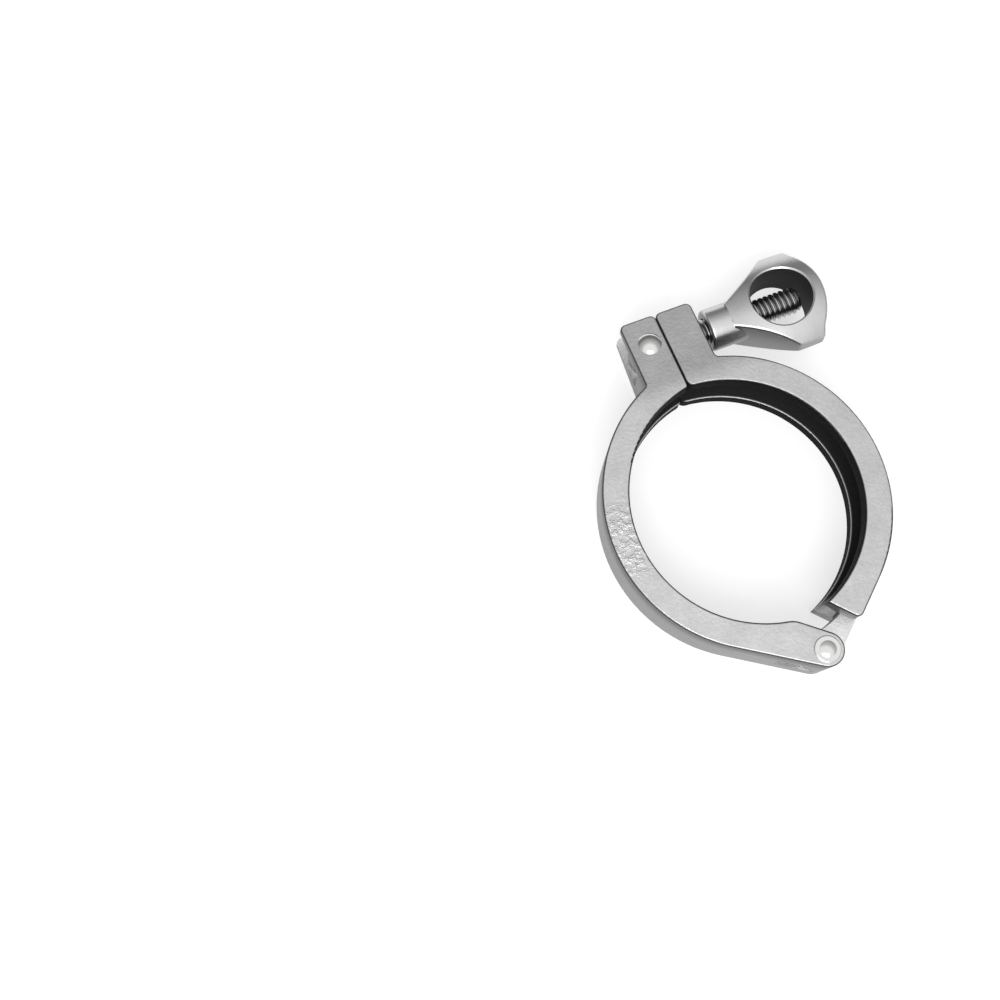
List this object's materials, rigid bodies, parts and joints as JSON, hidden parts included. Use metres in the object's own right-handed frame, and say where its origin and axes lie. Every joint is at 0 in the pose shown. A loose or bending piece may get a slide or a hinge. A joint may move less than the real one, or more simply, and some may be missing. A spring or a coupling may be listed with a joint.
{
  "type": "sanitary hinged clamp",
  "caption": "Hinged ring clamp for sanitary ferrules, with a swing bolt and a wing nut that draw its ears together.",
  "frame": {"origin": "centre of the bolt side half's bore, at mid thickness", "axes": "+Z along the bore, out of the front face where the hinge pin has its head; +Y from the hinge to the ears; +X the way the closed bolt points"},
  "size_m": [0.0689, 0.0939, 0.0174],
  "materials": {
    "cast_steel": "satin cast",
    "polished_pin": "polished",
    "bolt_steel": "machined",
    "nut_steel": "satin cast"
  },
  "bodies": {
    "bolt_side": {"bolt_side_half": "cast_steel", "hinge_pin": "polished_pin", "bolt_pin": "polished_pin"},
    "nut_side": {"nut_side_half": "cast_steel"},
    "bolt": {"swing_bolt": "bolt_steel"},
    "nut": {"wing_nut": "nut_steel"}
  },
  "joints": [
    {"name": "bolt_swing", "type": "hinge", "parent": "bolt_side", "child": "bolt", "pos_m": [-0.00915, 0.0413, 0], "axis": [0, 0, 1], "range_deg": [0, 200]},
    {"name": "nut_travel", "type": "slide", "parent": "bolt", "child": "nut", "axis": [1, 0, 0], "range_m": [0, 0.01651]},
    {"name": "half_hinge", "type": "hinge", "parent": "bolt_side", "child": "nut_side", "pos_m": [0, -0.03675, 0], "axis": [0, 0, -1], "range_deg": [0, 200]}
  ],
  "couplings": [
    {"joint": "half_hinge", "follows": "nut_travel", "rad_per_m": 12.81}
  ]
}
